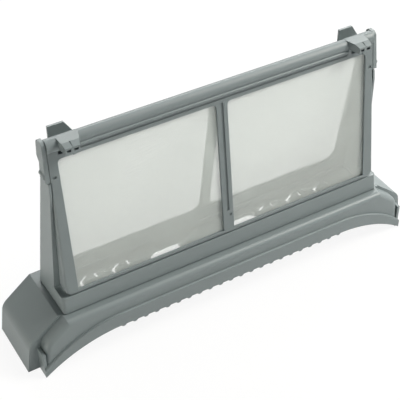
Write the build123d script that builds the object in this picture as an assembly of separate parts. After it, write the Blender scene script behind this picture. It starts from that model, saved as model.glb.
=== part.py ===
from build123d import *
import os
from math import asin, atan, cos, degrees, radians, sin, tan

os.makedirs("parts", exist_ok=True)

# All sizes are in millimetres. X runs along the grip, +Y from the door to the rear screen and +Z up.
# The origin lies under the middle of the filter, at the height of its feet.

# Grip base, seen from the front
base_length = 341.0
base_height = 44.0
cap_run = 27.3
slope_angle = 39.0
end_draft = 8.0
shoulder_radius = 12.0
ledge_round = 1.2
base_wall = 2.2
foot_width = 9.1

# Grip base, from front to back
overall_depth = 61.6
base_depth = 50.0
flange_step = 1.8
flange_thickness = 4.4
flange_round = 0.8
apron_top_inset = 3.7
apron_wall = 4.0
apron_round = 4.0
foot_web = 2.2

# Arched lower edge, the flange along it and the grip ribs
arch_run = 73.5
flange_low = 21.2
flange_low_radius = 109.0
flange_high = 33.4
flange_high_radius = 92.0
rib_pitch = 9.25
rib_radius = 2.3
rib_drop = 1.5

# Intake floor inside the base
floor_top = 28.0
floor_thickness = 2.6
intake_inner_x = 22.5
intake_width = 28.0
intake_front_y = -6.0
intake_depth = 27.3
intake_round = 10.0
slot_width = 2.6
slot_pitch = 27.5
slot_offset = 2.5
slot_cells = 3
slot_node_y = 19.7
slot_stem = 10.9
slot_arm = 10.6
slot_mid_y = 17.8
slot_mid_length = 8.0
slot_hub_y = 11.1
slot_spoke_in = 4.8
slot_spoke_out = 10.0
slot_lean = 30.0

# Pocket: drafted sides on the base's ledge, a collar, and a leaning rear frame
ledge_width = 4.4
pocket_draft = 2.45
side_wall = 1.8
collar_height = 14.3
collar_wall = 2.0
collar_round = 2.5
collar_ledge = 2.0
collar_ledge_width = 8.0
lip_wall = 3.0
seam_chamfer = 0.8
mouth_inset = 2.0
screen_front_y = -19.7
screen_rear_y = 17.0
rear_wall = 1.8
rear_window_inset = 8.8
rear_window_low = 1.3
rear_window_drop = 13.9
rear_window_round = 8.0
mullion_half = 4.4
parting_y = -5.6
parting_rise = 86.5
rim_thickness = 2.0
rim_width = 8.4
rim_drop = 16.6

# Hinge axis and the ears that carry the door
hinge_y = -1.2
hinge_rise = 120.1
front_set = 3.2
rear_set = 1.0
frame_gap = 0.7
ear_gap = 0.3
ear_inset = 1.0
ear_proud = 1.8
ear_rise = 5.0
ear_round = 3.6
ear_back = 2.6
ear_shoulder = 28.4
ear_step = 3.6
head_back = 6.2
head_drop = 8.6
head_step = 3.5
slit_height = 1.2
slit_depth = 4.0
nub_drop = 20.2
nub_radius = 2.4
nub_proud = 1.0
nub_inset = 0.4

# Door frame
rim_show = 3.6
door_gap = 0.5
flange_gap = 2.6
door_thickness = 4.2
door_edge_round = 1.4
door_top_round = 0.5
door_corner_round = 5.0
flange_wall = 2.0
stile_width = 9.3
low_rail = 3.2
window_drop = 9.7
window_round = 3.0
groove_width = 2.2
groove_depth = 0.8
groove_low = 20.5
dimple_x = 1.9
dimple_up = 16.6
dimple_radius = 1.2
mark_inset = 4.0
mark_drop = 12.5
mark_width = 2.8
mark_height = 2.0

# Hinge bar along the door's top, with a bead and a line under it and a pin at each end
bar_radius = 4.8
bead_radius = 1.2
bead_set = 0.6
bead_angle = 215.0
line_up = 3.0
line_width = 0.8
line_depth = 0.6
pin_radius = 2.0
pin_clearance = 0.06
pin_depth = 1.6
pin_end_gap = 0.3

# Clips on the hinge bar
clip_radius = 5.0
clip_offset = 11.1
clip_width = 15.0
finger_overhang = 1.0
finger_inner_taper = 4.5
finger_outer_taper = 1.4
finger_reach = 13.0
finger_low = 1.6
finger_high = 3.0
finger_slope = 8.3
finger_rise = 4.8
split_width = 0.8
split_depth = 0.5
hole_width = 3.0
hole_height = 2.0
hole_depth = 4.0
peg_size = 2.0
peg_drop = 1.6
hollow_up = 3.4
hollow_height = 2.6
hollow_depth = 2.8

# Tabs on arms behind the top of the rear frame
tab_reach = 13.5
tab_thickness = 1.8
tab_rise = 4.2
tab_width = 11.8
tab_offset = 2.0
tab_shift = 0.9
tab_slant = 6.2
tab_slant_drop = 9.5
arm_thickness = 2.2

# Filter cloth in its rebates
cloth_thickness = 0.4
cloth_set = 1.6
rebate_depth = 0.6
cloth_edge = 2.2
cloth_clearance = 0.3

# Places that follow from the sizes above
base_half = base_length / 2
ledge_half = base_half - cap_run
arch_half = base_half - foot_width
arch_flat_half = base_half - arch_run
base_back_y = overall_depth / 2
base_front_y = base_back_y - base_depth
flange_y = -overall_depth / 2
apron_y = flange_y + flange_step
pocket_half = ledge_half - ledge_width
collar_top = base_height + collar_height
hinge_z = collar_top + hinge_rise
front_slope = (hinge_y - front_set - screen_front_y) / hinge_rise
rear_slope = (hinge_y + rear_set - screen_rear_y) / hinge_rise
parting_slope = (screen_front_y + front_slope * parting_rise - parting_y) / parting_rise
door_lean = degrees(atan(front_slope))
door_stretch = 1 / cos(radians(door_lean))
door_depth = door_thickness * door_stretch

door_low_half = pocket_half - tan(radians(pocket_draft)) * collar_height - rim_show
door_high_half = pocket_half - tan(radians(pocket_draft)) * (hinge_z - base_height) - ear_inset - ear_gap

# How far cuts run past a surface, how close two places count as one, and a length beyond everything
overcut = 1.0
near = 0.01
reach = 2 * base_length


def front_at(z):
    # Front face of the lip and the door
    return screen_front_y + front_slope * (z - collar_top)


def lip_inner(z):
    return front_at(z) + lip_wall


def rear_at(z):
    # Inner face of the rear frame
    return screen_rear_y + rear_slope * (z - collar_top)


def rear_outer(z):
    return rear_at(z) + rear_wall


def parting_at(z):
    # Front edge of the pocket's side walls
    return parting_y + parting_slope * (z - collar_top)


def rim_back(z):
    # Rear face of the rim strips at their foot
    return parting_at(z) + rim_thickness


def half_at(z):
    # Outer half width of the pocket
    return pocket_half - tan(radians(pocket_draft)) * (z - base_height)


def door_half_at(z):
    # Outer half width of the door
    return door_low_half + (door_high_half - door_low_half) * (z - collar_top) / hinge_rise


def face_along_x(face, x_low, x_high):
    # A (y, z) face carried along X
    return extrude(Plane.YZ.offset(x_low) * face, x_high - x_low)


def along_x(points, x_low, x_high):
    # A (y, z) outline carried along X
    return face_along_x(make_face(Polyline(*points, close=True)), x_low, x_high)


def along_y(face, y_low, y_high):
    # An (x, z) face carried along Y
    return extrude(Plane.XZ.offset(-y_high) * face, y_high - y_low)


def block(x_low, x_high, y_low, y_high, z_low, z_high):
    size = (x_high - x_low, y_high - y_low, z_high - z_low)
    return Pos(x_low, y_low, z_low) * Box(*size, align=(Align.MIN, Align.MIN, Align.MIN))


def rod(radius, x_low, x_high, y=hinge_y, z=hinge_z):
    return face_along_x(Pos(y, z) * Circle(radius), x_low, x_high)


def both_sides(solid):
    return solid + mirror(solid, about=Plane.YZ)


def rectangle(x_low, x_high, y_low, y_high):
    return Pos((x_low + x_high) / 2, (y_low + y_high) / 2) * Rectangle(x_high - x_low, y_high - y_low)


def band(front, rear, z_low, z_high):
    # Outline between two leaning lines
    return [(front(z_low), z_low), (rear(z_low), z_low), (rear(z_high), z_high), (front(z_high), z_high)]


def wedge(z_low, half_low, z_high, half_high):
    # Everything between two drafted side planes
    corners = [(-half_low, z_low), (half_low, z_low), (half_high, z_high), (-half_high, z_high)]
    return along_y(make_face(Polyline(*corners, close=True)), -reach, reach)


def pocket_wedge(inset):
    z_low = base_height - base_wall
    z_high = hinge_z + 2 * bar_radius
    return wedge(z_low, half_at(z_low) - inset, z_high, half_at(z_high) - inset)


def door_wedge(inset):
    z_high = hinge_z + 2 * bar_radius
    return wedge(base_height, door_half_at(base_height) - inset, z_high, door_half_at(z_high) - inset)


def end_profile(half_low, half_top, top, radius, low):
    # Front outline of the base: drafted ends, rounded shoulders, slopes and a flat ledge
    run = 1 / tan(radians(slope_angle))
    draft = tan(radians(end_draft))
    corner_z = (half_top + top * run - half_low) / (run - draft)
    corner_x = half_low - draft * corner_z
    right = [(half_low - draft * low, low), (corner_x, corner_z), (half_top, top)]
    left = [(-x, z) for x, z in reversed(right)]
    face = make_face(Polyline(*right, *left, close=True))
    return fillet([v for v in face.vertices() if abs(v.Y - corner_z) < near], radius)


def arch(level, radius, floor):
    # Area under a line that is flat in the middle and bends down in an arc at each end
    turn = degrees(asin((arch_half - arch_flat_half) / radius))
    right = CenterArc((arch_flat_half, level - radius), radius, 90 - turn, turn)
    left = CenterArc((-arch_flat_half, level - radius), radius, 90, turn)
    end_z = (right @ 0).Y
    top = Line((arch_flat_half, level), (-arch_flat_half, level))
    foot = Polyline((-arch_half, end_z), (-arch_half, floor), (arch_half, floor), (arch_half, end_z))
    return make_face([right, top, left, foot])


def edges_at(solid, y, z_low):
    # Edges that lie in an upright plane, above a height
    return [e for e in solid.edges() if abs(e.center().Y - y) < near and e.center().Z > z_low]


# Grip base: end caps, apron, flange, grip ribs and the intake floor in one moulding
cap_face = end_profile(base_half, ledge_half, base_height, shoulder_radius, 0.0)
cap_face = fillet([v for v in cap_face.vertices() if abs(v.Y - base_height) < near], ledge_round)
grip_base = along_y(cap_face, base_front_y, base_back_y)
apron_half = arch_half
apron_top_half = ledge_half - apron_top_inset
apron_face = end_profile(apron_half, apron_top_half, base_height, shoulder_radius, 0.0)
apron = along_y(apron_face, apron_y, base_front_y + base_wall)
grip_base += fillet(edges_at(apron, apron_y, overcut), apron_round)
flange_back_y = flange_y + flange_thickness
flange = along_y(arch(flange_high, flange_high_radius, 0.0), flange_y, flange_back_y)
grip_base += fillet(edges_at(flange, flange_y, flange_low), flange_round)

rib_count = 1 + round(2 * arch_flat_half / rib_pitch)
rib_faces = Sketch()
for i in range(rib_count):
    rib_x = (i - (rib_count - 1) / 2) * rib_pitch
    rib_faces += Pos(rib_x, flange_low + rib_radius - rib_drop) * Circle(rib_radius)
ribs = along_y(rib_faces, flange_y, flange_back_y)
grip_base += ribs
grip_base -= along_y(arch(flange_low, flange_low_radius, -overcut), -reach, reach) - ribs

inner_face = end_profile(
    base_half - base_wall,
    ledge_half - base_wall,
    base_height - base_wall,
    shoulder_radius - base_wall,
    -overcut,
)
inner = along_y(inner_face, base_front_y + base_wall, base_back_y - base_wall)
apron_inner_face = end_profile(
    apron_half - apron_wall,
    apron_top_half - apron_wall,
    base_height - apron_wall,
    shoulder_radius - apron_wall,
    -overcut,
)
inner += along_y(apron_inner_face, flange_back_y, base_front_y + 2 * base_wall)
foot_plates = both_sides(block(arch_half - base_wall, base_length, -reach, reach, -2 * overcut, base_wall))
intake_floor = block(-reach, reach, -reach, reach, floor_top - floor_thickness, floor_top)
grip_base -= inner - foot_plates - intake_floor
foot_webs = block(apron_half - foot_web, apron_half, apron_y, base_front_y + base_wall, 0, flange_low)
grip_base += both_sides(foot_webs)
opening_half = pocket_half - collar_wall - mouth_inset
grip_base -= block(
    -opening_half,
    opening_half,
    lip_inner(base_height) + mouth_inset,
    rear_at(base_height) - mouth_inset,
    base_height - 2 * base_wall,
    base_height + overcut,
)


def floor_slot(x, y, length, angle):
    # A straight slot that starts at (x, y) and runs at an angle to X
    return Pos(x, y) * Rot(0, 0, angle) * Pos(length / 2, 0) * Rectangle(length, slot_width)


intake_outer_x = intake_inner_x + intake_width
intake_back_y = intake_front_y + intake_depth
intake = rectangle(intake_inner_x, intake_outer_x, intake_front_y, intake_back_y)
intake_corner = [v for v in intake.vertices() if v.X > intake_inner_x + near and v.Y > intake_front_y + near]
cuts = fillet(intake_corner, intake_round)
for i in range(slot_cells):
    node_x = intake_outer_x + slot_offset + i * slot_pitch
    hub_x = node_x + slot_pitch / 2
    cuts += floor_slot(node_x, slot_node_y, slot_arm, slot_lean)
    if i > 0:
        cuts += floor_slot(node_x, slot_node_y + slot_width / 2, slot_stem, -90)
        cuts += floor_slot(node_x, slot_node_y, slot_arm, 180 - slot_lean)
    cuts += floor_slot(hub_x, slot_mid_y, slot_mid_length, 90)
    for angle in (slot_lean, 180 - slot_lean):
        spoke_x = hub_x + slot_spoke_in * cos(radians(angle))
        spoke_y = slot_hub_y + slot_spoke_in * sin(radians(angle))
        cuts += floor_slot(spoke_x, spoke_y, slot_spoke_out - slot_spoke_in, angle)
floor_low = floor_top - floor_thickness - overcut
floor_cuts = extrude(Plane.XY.offset(floor_low) * cuts, floor_thickness + 2 * overcut)
grip_base -= both_sides(floor_cuts)


# Collar of the pocket: a low frame with rounded front corners that seats on the base
def collar_form(front, rear, inset, radius, z_low, z_high):
    solid = along_x(band(front, rear, z_low, z_high), -reach, reach) & pocket_wedge(inset)
    upright = [e for e in solid.edges() if e.bounding_box().size.Z > (z_high - z_low) / 2]
    return fillet([e for e in upright if e.center().Y < 0], radius)


collar = collar_form(front_at, rear_outer, 0.0, collar_round, base_height, collar_top)
collar = chamfer(collar.faces().sort_by(Axis.Z)[0].edges(), seam_chamfer)
well_round = collar_round - collar_wall
well_top = collar_top - collar_ledge
collar -= collar_form(lip_inner, rear_at, collar_wall, well_round, base_height - overcut, well_top)
mouth_half = pocket_half - collar_ledge_width
collar -= along_x(band(lip_inner, rear_at, base_height, collar_top + overcut), -mouth_half, mouth_half)
behind_rim = along_x(band(rim_back, rear_at, base_height, collar_top + overcut), -reach, reach)
collar -= behind_rim & pocket_wedge(collar_wall)

# Side walls of the pocket, which end in ears with a blind hole for the door's pins and a nub on the outside
wall_low = collar_top - overcut
shoulder_z = hinge_z - ear_shoulder
ear_low = shoulder_z + ear_step
ear_top = hinge_z + ear_rise
neck_y = hinge_y + ear_back
head_y = hinge_y + head_back
head_low = hinge_z - head_drop
parting_top = collar_top + parting_rise
wall_outline = [
    (parting_at(wall_low), wall_low),
    (rear_outer(wall_low), wall_low),
    (rear_outer(shoulder_z), shoulder_z),
    (neck_y, ear_low),
    (neck_y, head_low - head_step),
    (head_y, head_low),
    (head_y, ear_top),
    (front_at(ear_top), ear_top),
    (front_at(parting_top), parting_top),
]
wall_face = make_face(Polyline(*wall_outline, close=True))
wall_face = fillet([v for v in wall_face.vertices() if v.Y > ear_top - near], ear_round)
wall_form = face_along_x(wall_face, -reach, reach)
ear_space = block(-reach, reach, -reach, reach, ear_low, reach)
side_walls = (wall_form & pocket_wedge(0)) - pocket_wedge(side_wall) - ear_space
side_walls += wall_form & pocket_wedge(-ear_proud) & ear_space
side_walls -= door_wedge(-ear_gap)
nub_z = hinge_z - nub_drop
nub_face = Pos(half_at(nub_z) + ear_proud + nub_proud - nub_radius, nub_z) * Circle(nub_radius)
nub = along_y(nub_face, front_at(nub_z) + nub_inset, neck_y - nub_inset) - door_wedge(-ear_gap)
slit_back_y = front_at(ear_low) + slit_depth
slit = block(0, reach, -reach, slit_back_y, ear_low - slit_height, ear_low)
side_walls += both_sides(nub)
side_walls -= both_sides(slit)
pin_end = door_high_half + ear_gap + pin_depth
pin_hole_end = pin_end + pin_end_gap
side_walls -= rod(pin_radius + pin_clearance, -pin_hole_end, pin_hole_end)

# Rear frame with two windows, joined to the ears at its ends
clip_outer_x = door_low_half - clip_offset
clip_inner_x = clip_outer_x - clip_width
frame_top = hinge_z - bar_radius - frame_gap
rear_frame = along_x(band(rear_at, rear_outer, base_height + overcut, frame_top), -reach, reach)
frame_ends = along_x(band(front_at, rear_outer, ear_low, frame_top), -reach, reach) - door_wedge(-ear_gap)
rear_frame += frame_ends
rear_frame = rear_frame & pocket_wedge(0)

# Rear tabs, both with their slanted edge to the right
tab_y = hinge_y + tab_reach
tab_top = hinge_z + tab_rise
arm_low = frame_top - arm_thickness
for side in (-1, 1):
    tab_x = side * (clip_outer_x - clip_width / 2 + tab_offset) + tab_shift
    left_x = tab_x - tab_width / 2
    right_x = tab_x + tab_width / 2
    tab_corners = [
        (left_x, arm_low),
        (left_x, tab_top),
        (right_x, tab_top),
        (right_x + tab_slant, tab_top - tab_slant_drop),
        (right_x + tab_slant, arm_low),
    ]
    rear_frame += along_y(make_face(Polyline(*tab_corners, close=True)), tab_y, tab_y + tab_thickness)
    rear_frame += block(left_x, right_x, rear_at(arm_low), tab_y + near, arm_low, frame_top)
rear_window_outer = half_at(hinge_z) - rear_window_inset
rear_window_base = collar_top - rear_window_low
rear_window_top = hinge_z - rear_window_drop
rear_window = rectangle(mullion_half, rear_window_outer, rear_window_base, rear_window_top)
rear_window = along_y(fillet(rear_window.vertices(), rear_window_round), 0, base_back_y)

# Rim strips behind the door's edges
rim_bend = collar_top + (parting_y - door_gap - screen_front_y - door_depth) / (front_slope - parting_slope)
rim_top = hinge_z - rim_drop
rim_top_y = front_at(rim_top) + door_depth + door_gap
rim_edge = [(parting_at(wall_low), wall_low), (parting_at(rim_bend), rim_bend), (rim_top_y, rim_top)]
rim_outline = rim_edge + [(y + rim_thickness, z) for y, z in reversed(rim_edge)]
rim = along_x(rim_outline, pocket_half - rim_width, reach) & pocket_wedge(side_wall / 2)

rear_pocket = collar + side_walls + both_sides(rim) + rear_frame
rear_pocket -= both_sides(rear_window)

# Rear cloth and its rebate in the inner face of the rear frame
cloth_rear_half = rear_window_outer + cloth_edge
cloth_rear_low = rear_window_base - cloth_edge
cloth_rear_high = rear_window_top + cloth_edge


def rebate_mouth(z):
    return rear_at(z) - overcut


def rebate_floor(z):
    return rear_at(z) + rebate_depth


def cloth_face(z):
    return rebate_floor(z) - cloth_thickness


rebate_outline = band(rebate_mouth, rebate_floor, cloth_rear_low, cloth_rear_high)
rear_pocket -= along_x(rebate_outline, -cloth_rear_half, cloth_rear_half)
cloth_outline = band(
    cloth_face,
    rebate_floor,
    cloth_rear_low + cloth_clearance,
    cloth_rear_high - cloth_clearance,
)
rear_mesh_half = cloth_rear_half - cloth_clearance
rear_mesh = along_x(cloth_outline, -rear_mesh_half, rear_mesh_half)

# Door: a leaning frame whose rounded edges run back as wedge-shaped flanges to the parting line
door_plane = Plane(
    origin=(0, screen_front_y, collar_top),
    x_dir=(1, 0, 0),
    z_dir=(0, -cos(radians(door_lean)), sin(radians(door_lean))),
)
door_low_z = collar_top + door_gap
door_top_z = hinge_z - bar_radius / 2


def door_slab(face, depth_low, depth_high):
    # A face in the door's plane, thickened between two depths, with the front face at zero
    return extrude(door_plane.offset(depth_low) * face, depth_high - depth_low)


door_outline = [
    (front_at(door_low_z), door_low_z),
    (parting_at(door_low_z) - flange_gap, door_low_z),
    (parting_at(rim_bend) - door_gap, rim_bend),
    (front_at(door_top_z) + door_depth, door_top_z),
    (front_at(door_top_z), door_top_z),
]
door = along_x(door_outline, -reach, reach) & door_wedge(0)
low_edges = [e for e in door.edges() if abs(e.center().Z - door_low_z) < near]
door = fillet([e for e in low_edges if e.bounding_box().size.X < door_low_half], door_corner_round)


def round_stiles(solid, radius):
    front_edges = [e for e in solid.edges() if abs(e.center().Y - front_at(e.center().Z)) < near]
    tall = solid.bounding_box().size.Z / 2
    return fillet([e for e in front_edges if e.bounding_box().size.Z > tall], radius)


door = round_stiles(door - ear_space, door_edge_round) + round_stiles(door & ear_space, door_top_round)
door_hollow = [
    (front_at(base_height) + door_depth, base_height),
    (reach, base_height),
    (reach, hinge_z),
    (front_at(hinge_z) + door_depth, hinge_z),
]
door -= along_x(door_hollow, -reach, reach) & door_wedge(flange_wall)

window_outer = door_low_half - stile_width
window_low = door_gap * door_stretch + low_rail
window_high = (hinge_z - window_drop - collar_top) * door_stretch
window = rectangle(mullion_half, window_outer, window_low, window_high)
window = fillet([v for v in window.vertices() if v.Y > window_low + near], window_round)
window = door_slab(window, -2 * door_thickness, overcut)

# Hinge bar, its bead and pins, and the line between the bead and the top rail
bead_distance = bar_radius + bead_set
bead_y = hinge_y + bead_distance * cos(radians(bead_angle))
bead_z = hinge_z + bead_distance * sin(radians(bead_angle))
line_low = window_high + line_up
line_face = rectangle(-clip_inner_x, clip_inner_x, line_low, line_low + line_width)
door -= door_slab(line_face, -line_depth, overcut)
door += rod(bead_radius, -clip_inner_x, clip_inner_x, bead_y, bead_z)
door += rod(bar_radius, -reach, reach) & door_wedge(0)
door += rod(pin_radius, -pin_end, pin_end)

# One clip: a collar on the bar, two tapered fingers with a hole in each, and a peg, over a hollow in the rail
tip_y = hinge_y - finger_reach
finger_outline = [
    (hinge_y, hinge_z),
    (hinge_y - clip_radius, hinge_z - finger_low),
    (tip_y, hinge_z - finger_low),
    (tip_y, hinge_z + finger_high),
    (hinge_y - finger_slope, hinge_z + finger_rise),
    (hinge_y, hinge_z + clip_radius),
]
root_low = clip_inner_x - finger_overhang
root_high = clip_outer_x + finger_overhang / 2
tip_low = root_low + finger_inner_taper
tip_high = root_high - finger_outer_taper
finger_plan = [(root_low, hinge_y), (root_high, hinge_y), (tip_high, tip_y), (tip_low, tip_y)]
finger_plan = make_face(Polyline(*finger_plan, close=True))
fingers = extrude(Plane.XY.offset(base_height) * finger_plan, 2 * hinge_rise)
fingers = fingers & along_x(finger_outline, 0, reach)
tip_mid = (tip_low + tip_high) / 2
split_outline = [
    (tip_y - overcut, hinge_z + finger_high - split_depth),
    (hinge_y - finger_slope, hinge_z + finger_rise - split_depth),
    (hinge_y - finger_slope, hinge_z + 2 * clip_radius),
    (tip_y - overcut, hinge_z + 2 * clip_radius),
]
fingers -= along_x(split_outline, tip_mid - split_width / 2, tip_mid + split_width / 2)
hole_z = hinge_z + (finger_high - finger_low) / 2
for hole_x in ((tip_low + tip_mid) / 2, (tip_mid + tip_high) / 2):
    hole_face = Pos(hole_x, hole_z) * Rectangle(hole_width, hole_height)
    fingers -= along_y(hole_face, tip_y - overcut, tip_y + hole_depth)
peg_top = hinge_z - finger_low + near
fingers += block(tip_mid - peg_size, tip_mid, tip_y, tip_y + peg_size, peg_top - peg_drop, peg_top)
hollow_low = window_high + hollow_up
hollow_face = rectangle(tip_low, root_high, hollow_low, hollow_low + hollow_height)
door -= both_sides(door_slab(hollow_face, -hollow_depth, overcut))
door += both_sides(rod(clip_radius, clip_inner_x, reach)) & door_wedge(0)
door += both_sides(fingers)
door -= both_sides(window)

# Groove and dimple in the centre bar, and a small mark on each stile
groove_face = rectangle(-groove_width / 2, groove_width / 2, groove_low, window_high)
door -= door_slab(groove_face, -groove_depth, overcut)
door -= door_slab(Pos(dimple_x, dimple_up) * Circle(dimple_radius), -groove_depth, overcut)
mark_face = Pos(window_outer + mark_inset, window_high - mark_drop) * Rectangle(mark_width, mark_height)
door -= both_sides(door_slab(mark_face, -groove_depth, overcut))

# Front cloth and its rebate in the back of the door frame
cloth_half = window_outer + cloth_edge
cloth_low = window_low - cloth_edge
cloth_high = window_high + cloth_edge
rebate_face = rectangle(-cloth_half, cloth_half, cloth_low, cloth_high)
door -= door_slab(rebate_face, -door_thickness - near, -cloth_set)
mesh_half = cloth_half - cloth_clearance
mesh_face = rectangle(-mesh_half, mesh_half, cloth_low + cloth_clearance, cloth_high - cloth_clearance)
front_mesh = door_slab(mesh_face, -cloth_set - cloth_thickness, -cloth_set)

pieces = {
    "grip_base": grip_base,
    "rear_pocket": rear_pocket,
    "rear_mesh": rear_mesh,
    "front_door": door,
    "front_mesh": front_mesh,
}
for name, solid in pieces.items():
    solid.label = name
    export_step(solid, f"parts/{name}.step")
    box = solid.bounding_box()
    print(name, len(solid.solids()), round(solid.volume), tuple(box.min), tuple(box.max))
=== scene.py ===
import math

import bpy
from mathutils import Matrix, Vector


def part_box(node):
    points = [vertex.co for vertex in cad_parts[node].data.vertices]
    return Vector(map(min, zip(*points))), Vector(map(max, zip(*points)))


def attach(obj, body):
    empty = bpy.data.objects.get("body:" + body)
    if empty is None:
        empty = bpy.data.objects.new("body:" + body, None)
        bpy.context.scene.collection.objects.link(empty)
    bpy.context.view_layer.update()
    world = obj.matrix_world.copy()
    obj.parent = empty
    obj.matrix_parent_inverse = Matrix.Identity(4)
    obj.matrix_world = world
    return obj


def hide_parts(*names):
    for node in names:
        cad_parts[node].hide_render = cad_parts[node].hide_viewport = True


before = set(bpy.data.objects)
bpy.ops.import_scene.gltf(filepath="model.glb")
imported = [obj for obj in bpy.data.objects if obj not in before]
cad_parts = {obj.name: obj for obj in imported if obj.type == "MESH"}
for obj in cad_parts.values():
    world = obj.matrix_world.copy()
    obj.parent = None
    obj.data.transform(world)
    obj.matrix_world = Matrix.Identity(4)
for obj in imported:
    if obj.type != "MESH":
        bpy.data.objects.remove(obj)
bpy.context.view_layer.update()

scene = bpy.context.scene
scene.view_settings.view_transform = "Standard"


# small helpers for node trees

def newGroup(name, inputs, outputs):
    group = bpy.data.node_groups.new(name, "ShaderNodeTree")
    for label, kind, value in inputs:
        socket = group.interface.new_socket(label, in_out="INPUT", socket_type=kind)
        socket.default_value = value
    for label, kind in outputs:
        group.interface.new_socket(label, in_out="OUTPUT", socket_type=kind)
    source = group.nodes.new("NodeGroupInput")
    target = group.nodes.new("NodeGroupOutput")
    return group, source, target


def addNode(tree, kind, **settings):
    node = tree.nodes.new(kind)
    for key, value in settings.items():
        setattr(node, key, value)
    return node


def wire(tree, start, end):
    tree.links.new(start, end)


def mathNode(tree, operation, *values):
    node = addNode(tree, "ShaderNodeMath", operation=operation)
    for index, value in enumerate(values):
        if isinstance(value, (int, float)):
            node.inputs[index].default_value = value
        else:
            wire(tree, value, node.inputs[index])
    return node.outputs[0]


# moulded plastic: fine spark-eroded grain with broad flow clouds
grainSettings = {
    "cloudScale": 14.0,
    "cloudDetail": 4,
    "grainScale": 2600.0,
    "grainDetail": 2,
    "grainDepth": 0.0002,
    "edgeSamples": 6,
}


def buildMouldGrain(settings):
    group, source, target = newGroup(
        "mouldGrain",
        [
            ("Base", "NodeSocketColor", (0.2, 0.22, 0.23, 1)),
            ("Cloud Scale", "NodeSocketFloat", settings["cloudScale"]),
            ("Cloud Amount", "NodeSocketFloat", 0.12),
            ("Grain Scale", "NodeSocketFloat", settings["grainScale"]),
            ("Roughness", "NodeSocketFloat", 0.5),
        ],
        [
            ("Color", "NodeSocketColor"),
            ("Roughness", "NodeSocketFloat"),
            ("Height", "NodeSocketFloat"),
        ],
    )
    place = addNode(group, "ShaderNodeTexCoord")
    cloud = addNode(group, "ShaderNodeTexNoise")
    cloud.inputs["Detail"].default_value = settings["cloudDetail"]
    wire(group, place.outputs["Object"], cloud.inputs["Vector"])
    wire(group, source.outputs["Cloud Scale"], cloud.inputs["Scale"])
    grain = addNode(group, "ShaderNodeTexNoise")
    grain.inputs["Detail"].default_value = settings["grainDetail"]
    wire(group, place.outputs["Object"], grain.inputs["Vector"])
    wire(group, source.outputs["Grain Scale"], grain.inputs["Scale"])
    centred = mathNode(group, "SUBTRACT", cloud.outputs["Fac"], 0.5)  # noise swings round its middle
    swing = mathNode(group, "MULTIPLY", centred, source.outputs["Cloud Amount"])
    lift = mathNode(group, "ADD", swing, 1.0)
    shade = addNode(group, "ShaderNodeVectorMath", operation="SCALE")
    wire(group, source.outputs["Base"], shade.inputs[0])
    wire(group, lift, shade.inputs["Scale"])
    wire(group, shade.outputs[0], target.inputs["Color"])
    rough = mathNode(group, "ADD", source.outputs["Roughness"], swing)
    wire(group, rough, target.inputs["Roughness"])
    wire(group, grain.outputs["Fac"], target.inputs["Height"])
    return group


mouldGrain = buildMouldGrain(grainSettings)

# filter weave: a plain weave of fine threads, as a cover mask, thread shading and height
weaveSettings = {
    "edgeBlur": 0.15,
    # painted shade: share of the colour left in the hollows between threads
    "hollowShade": 0.88,
    "driftScale": 18.0,
    "driftDetail": 3,
    "driftAmount": 0.12,
}


def buildWovenMesh(settings):
    group, source, target = newGroup(
        "wovenMesh",
        [
            ("Base", "NodeSocketColor", (0.85, 0.88, 0.85, 1)),
            ("Pitch", "NodeSocketFloat", 0.0004),
            ("Thread", "NodeSocketFloat", 0.5),
            ("Thread Cover", "NodeSocketFloat", 0.8),
            ("Hole Cover", "NodeSocketFloat", 0.25),
        ],
        [
            ("Color", "NodeSocketColor"),
            ("Cover", "NodeSocketFloat"),
            ("Height", "NodeSocketFloat"),
        ],
    )
    place = addNode(group, "ShaderNodeTexCoord")
    split = addNode(group, "ShaderNodeSeparateXYZ")
    wire(group, place.outputs["Object"], split.inputs[0])
    ridges = []
    for axis in ("X", "Z"):
        count = mathNode(group, "DIVIDE", split.outputs[axis], source.outputs["Pitch"])
        turn = mathNode(group, "MULTIPLY", count, 2 * math.pi)
        wave = mathNode(group, "COSINE", turn)
        ridges.append(mathNode(group, "MULTIPLY_ADD", wave, 0.5, 0.5))  # from 0 to 1
    height = mathNode(group, "MAXIMUM", *ridges)

    # cover is high on the threads and low in the holes, and drifts a little over the sheet
    edge = mathNode(group, "SUBTRACT", 1.0, source.outputs["Thread"])
    mask = addNode(group, "ShaderNodeMapRange", interpolation_type="SMOOTHSTEP")
    wire(group, height, mask.inputs["Value"])
    wire(group, mathNode(group, "SUBTRACT", edge, settings["edgeBlur"]), mask.inputs["From Min"])
    wire(group, mathNode(group, "ADD", edge, settings["edgeBlur"]), mask.inputs["From Max"])
    wire(group, source.outputs["Hole Cover"], mask.inputs["To Min"])
    wire(group, source.outputs["Thread Cover"], mask.inputs["To Max"])
    cloud = addNode(group, "ShaderNodeTexNoise")
    cloud.inputs["Scale"].default_value = settings["driftScale"]
    cloud.inputs["Detail"].default_value = settings["driftDetail"]
    wire(group, place.outputs["Object"], cloud.inputs["Vector"])
    centred = mathNode(group, "SUBTRACT", cloud.outputs["Fac"], 0.5)
    drift = mathNode(group, "MULTIPLY", centred, settings["driftAmount"])
    wire(group, mathNode(group, "ADD", mask.outputs[0], drift), target.inputs["Cover"])

    # painted shade: the colour darkens into the hollows between threads and is lightest along their tops
    paintedThreadLight = mathNode(group, "MULTIPLY", height, 1 - settings["hollowShade"])
    shade = addNode(group, "ShaderNodeVectorMath", operation="SCALE")
    wire(group, source.outputs["Base"], shade.inputs[0])
    wire(group, mathNode(group, "ADD", paintedThreadLight, settings["hollowShade"]), shade.inputs["Scale"])
    wire(group, shade.outputs[0], target.inputs["Color"])
    wire(group, height, target.inputs["Height"])
    return group


wovenMesh = buildWovenMesh(weaveSettings)


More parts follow.
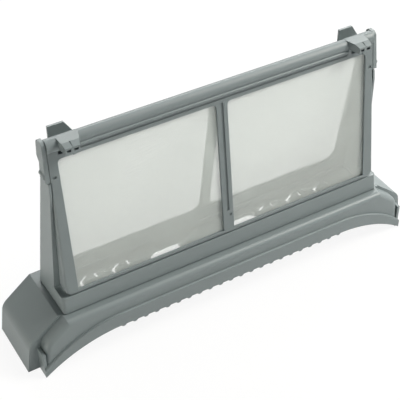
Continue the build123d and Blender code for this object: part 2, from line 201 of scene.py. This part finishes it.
def plasticMaterial(name, look):
    material = bpy.data.materials.new(name)
    material.use_nodes = True
    tree = material.node_tree
    shader = tree.nodes["Principled BSDF"]
    grain = addNode(tree, "ShaderNodeGroup", node_tree=mouldGrain)
    grain.inputs["Base"].default_value = (*look["colour"], 1)
    grain.inputs["Cloud Amount"].default_value = look["clouds"]
    grain.inputs["Roughness"].default_value = look["roughness"]
    wire(tree, grain.outputs["Color"], shader.inputs["Base Color"])
    wire(tree, grain.outputs["Roughness"], shader.inputs["Roughness"])
    bump = addNode(tree, "ShaderNodeBump")
    bump.inputs["Strength"].default_value = look["bump"]
    bump.inputs["Distance"].default_value = grainSettings["grainDepth"]
    wire(tree, grain.outputs["Height"], bump.inputs["Height"])
    soft = addNode(tree, "ShaderNodeBevel", samples=grainSettings["edgeSamples"])  # softened moulded edges
    soft.inputs["Radius"].default_value = look["edge"]
    wire(tree, soft.outputs["Normal"], bump.inputs["Normal"])
    wire(tree, bump.outputs["Normal"], shader.inputs["Normal"])
    return material


def clothMaterial(name, look):
    material = bpy.data.materials.new(name)
    material.use_nodes = True
    tree = material.node_tree
    shader = tree.nodes["Principled BSDF"]
    weave = addNode(tree, "ShaderNodeGroup", node_tree=wovenMesh)
    weave.inputs["Base"].default_value = (*look["colour"], 1)
    weave.inputs["Pitch"].default_value = look["pitch"]
    weave.inputs["Thread"].default_value = look["thread"]
    weave.inputs["Thread Cover"].default_value = look["threadCover"]
    weave.inputs["Hole Cover"].default_value = look["holeCover"]
    wire(tree, weave.outputs["Color"], shader.inputs["Base Color"])
    wire(tree, weave.outputs["Cover"], shader.inputs["Alpha"])
    shader.inputs["Roughness"].default_value = look["roughness"]
    shader.inputs["Sheen Weight"].default_value = look["sheen"]
    bump = addNode(tree, "ShaderNodeBump")
    bump.inputs["Strength"].default_value = look["bump"]
    bump.inputs["Distance"].default_value = look["pitch"] / 4  # a thread stands a quarter pitch proud
    wire(tree, weave.outputs["Height"], bump.inputs["Height"])
    wire(tree, bump.outputs["Normal"], shader.inputs["Normal"])
    return material


gripLook = {
    "colour": (0.174, 0.206, 0.211),
    "clouds": 0.12,
    "roughness": 0.42,
    "bump": 0.15,
    "edge": 0.0004,
}
pocketLook = {
    "colour": (0.174, 0.206, 0.211),
    "clouds": 0.12,
    "roughness": 0.42,
    "bump": 0.15,
    "edge": 0.0004,
}
doorLook = {
    "colour": (0.158, 0.188, 0.193),
    "clouds": 0.12,
    "roughness": 0.42,
    "bump": 0.15,
    "edge": 0.0003,
}

finishes = {
    "grip_base": plasticMaterial("gripPlastic", gripLook),
    "rear_pocket": plasticMaterial("pocketPlastic", pocketLook),
    "front_door": plasticMaterial("doorPlastic", doorLook),
}
for nodeName, material in finishes.items():
    piece = bpy.data.objects[nodeName]
    piece.data.materials.clear()
    piece.data.materials.append(material)
print("finishes set")

# filter cloth: one taut woven sheet in each frame, with a faint pillow in each window
clothLook = {
    "colour": (0.668, 0.715, 0.692),
    "pitch": 0.0004,
    "thread": 0.36,
    "threadCover": 0.66,
    "holeCover": 0.34,
    "roughness": 0.6,
    "sheen": 0.2,
    "bump": 0.25,
}
clothShape = {
    "thickness": 0.0004,
    "columns": 120,
    "rows": 52,
    "pillow": 0.0005,
    "rippleShare": 0.3,
    "rippleWaves": ((23, 5), (-4, 9)),  # radians across and up the sheet
}
clothSheets = [
    {
        "name": "frontCloth", "node": "front_mesh", "holder": "front_door",
        "body": "door", "slot": "front_cloth", "lean": 7.26,
    },
    {
        "name": "rearCloth", "node": "rear_mesh", "holder": "rear_pocket",
        "body": "housing", "slot": "rear_cloth", "lean": -8.15,
    },
]


def pillowLift(u, v, shape):
    swell = math.sin(2 * math.pi * u) ** 2 * math.sin(math.pi * v) ** 2  # two windows side by side
    ripple = 1.0
    for across, upward in shape["rippleWaves"]:
        ripple *= math.sin(across * u + upward * v)
    return shape["pillow"] * swell * (1 - shape["rippleShare"] + shape["rippleShare"] * ripple)


def makeCloth(sheet, shape, material):
    low, high = (Vector(corner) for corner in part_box(sheet["node"]))
    middle = (low + high) / 2
    lean = math.radians(sheet["lean"])
    up = Vector((0, math.sin(lean), math.cos(lean)))
    out = Vector((0, -math.cos(lean), math.sin(lean)))
    inward = math.copysign(1, lean)  # both sheets swell into the pocket
    width = high.x - low.x
    length = (high.z - low.z) / math.cos(lean) - shape["thickness"] * abs(math.tan(lean))
    verts = []
    for row in range(shape["rows"] + 1):
        v = row / shape["rows"]
        for column in range(shape["columns"] + 1):
            u = column / shape["columns"]
            across = Vector((width * (u - 0.5), 0, 0))
            along = up * length * (v - 0.5)
            verts.append(middle + across + along - out * pillowLift(u, v, shape) * inward)
    faces = []
    stride = shape["columns"] + 1
    for row in range(shape["rows"]):
        for column in range(shape["columns"]):
            first = row * stride + column
            faces.append((first, first + 1, first + stride + 1, first + stride))
    mesh = bpy.data.meshes.new(sheet["name"])
    mesh.from_pydata(verts, [], faces)
    mesh.polygons.foreach_set("use_smooth", [True] * len(faces))
    mesh.materials.append(material)
    piece = bpy.data.objects.new(sheet["name"], mesh)
    scene.collection.objects.link(piece)
    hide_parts(sheet["node"])
    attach(piece, sheet["body"])


filterCloth = clothMaterial("filterCloth", clothLook)
for sheet in clothSheets:
    makeCloth(sheet, clothShape, filterCloth)
print("cloth stretched")

# studio: pale floor, soft lamps and a plain world
studio = {
    "floorSize": 6.0,
    "floorColour": (0.9, 0.9, 0.9),
    "floorRoughness": 0.9,
    "floorWhite": 0.9,
    "backColour": (1.0, 1.0, 1.0),
    "worldColour": (0.95, 1.0, 1.0),
    "horizon": 0.3,
    "zenith": 0.06,
    "lamps": [
        {
            "name": "leftSoft", "place": (-1.7, 0.1, 0.25), "aim": (0, 0, 0.08),
            "size": (1.2, 0.45), "spread": 180, "power": 3.4, "tint": (1.0, 0.94, 0.80),
        },
        {
            "name": "leftBounce", "place": (-0.62, -0.05, 0.5), "aim": (-0.62, -0.05, 0),
            "size": (0.3, 0.3), "spread": 80, "power": 2.8, "tint": (1.0, 0.96, 0.84),
        },
        {
            "name": "keySoft", "place": (1.35, -0.55, 1.35), "aim": (0, 0, 0.08),
            "size": (0.8, 0.8), "spread": 180, "power": 44.0, "tint": (1.0, 0.97, 0.91),
        },
        {
            "name": "topStrip", "place": (0.74, 0.0, 1.8), "aim": (0, 0, 0.08),
            "size": (0.9, 0.25), "spread": 180, "power": 6.4, "tint": (1.0, 1.0, 0.98),
        },
        {
            "name": "backStrip", "place": (0.72, 1.2, 1.15), "aim": (0, 0, 0.08),
            "size": (1.5, 0.35), "spread": 180, "power": 20.0, "tint": (1.0, 1.0, 0.98),
        },
    ],
}


def whiteRays(tree):
    # rays that show the plain background: straight, mirrored or refracted
    path = addNode(tree, "ShaderNodeLightPath")
    seen = mathNode(tree, "MAXIMUM", path.outputs["Is Camera Ray"], path.outputs["Is Glossy Ray"])
    return mathNode(tree, "MAXIMUM", seen, path.outputs["Is Transmission Ray"])


def mixShaders(tree, share, first, second, output):
    mix = addNode(tree, "ShaderNodeMixShader")
    wire(tree, share, mix.inputs[0])
    wire(tree, first.outputs[0], mix.inputs[1])
    wire(tree, second.outputs[0], mix.inputs[2])
    wire(tree, mix.outputs[0], tree.nodes[output].inputs["Surface"])


def makeFloor(look):
    half = look["floorSize"] / 2
    corners = [(-half, -half, 0), (half, -half, 0), (half, half, 0), (-half, half, 0)]
    mesh = bpy.data.meshes.new("floor")
    mesh.from_pydata(corners, [], [(0, 1, 2, 3)])
    floor = bpy.data.objects.new("floor", mesh)
    scene.collection.objects.link(floor)
    material = bpy.data.materials.new("paleFloor")
    material.use_nodes = True
    tree = material.node_tree
    shader = tree.nodes["Principled BSDF"]
    shader.inputs["Base Color"].default_value = (*look["floorColour"], 1)
    shader.inputs["Roughness"].default_value = look["floorRoughness"]
    white = addNode(tree, "ShaderNodeEmission")
    share = mathNode(tree, "MULTIPLY", whiteRays(tree), look["floorWhite"])  # the rest keeps the shadow
    mixShaders(tree, share, shader, white, "Material Output")
    mesh.materials.append(material)


def makeLamp(look):
    data = bpy.data.lights.new(look["name"], "AREA")
    data.shape = "RECTANGLE"
    data.size, data.size_y = look["size"]
    data.energy = look["power"]
    data.color = look["tint"]
    data.spread = math.radians(look["spread"])
    lamp = bpy.data.objects.new(look["name"], data)
    lamp.location = look["place"]
    beam = Vector(look["aim"]) - Vector(look["place"])
    lamp.rotation_euler = beam.to_track_quat("-Z", "Y").to_euler()
    scene.collection.objects.link(lamp)


def makeWorld(look):
    # brighter round the horizon than overhead, and white behind the object
    world = bpy.data.worlds.new("studioWorld")
    world.use_nodes = True
    tree = world.node_tree
    sky = tree.nodes["Background"]
    sky.inputs["Color"].default_value = (*look["worldColour"], 1)
    place = addNode(tree, "ShaderNodeTexCoord")
    split = addNode(tree, "ShaderNodeSeparateXYZ")
    wire(tree, place.outputs["Generated"], split.inputs[0])
    fall = addNode(tree, "ShaderNodeMapRange")
    fall.inputs["To Min"].default_value = look["horizon"]
    fall.inputs["To Max"].default_value = look["zenith"]
    wire(tree, split.outputs["Z"], fall.inputs["Value"])
    wire(tree, fall.outputs[0], sky.inputs["Strength"])
    white = addNode(tree, "ShaderNodeBackground")
    white.inputs["Color"].default_value = (*look["backColour"], 1)
    mixShaders(tree, whiteRays(tree), sky, white, "World Output")
    scene.world = world


makeFloor(studio)
for lampLook in studio["lamps"]:
    makeLamp(lampLook)
makeWorld(studio)
print("studio lit")

# camera at the photograph's viewing angle, in degrees below level and towards the right
camera = {
    "place": (-0.3213, -0.5167, 0.5906),
    "pitch": 40.21,
    "yaw": 30.72,
    "lens": 95.0,
    "sensor": 36.0,
    "clipStart": 0.01,
}
lensData = bpy.data.cameras.new("photoCamera")
lensData.lens = camera["lens"]
lensData.sensor_width = camera["sensor"]
lensData.clip_start = camera["clipStart"]
photoCamera = bpy.data.objects.new("photoCamera", lensData)
photoCamera.location = camera["place"]
photoCamera.rotation_euler = (math.radians(90 - camera["pitch"]), 0, math.radians(-camera["yaw"]))
scene.collection.objects.link(photoCamera)
scene.camera = photoCamera
print("camera placed")
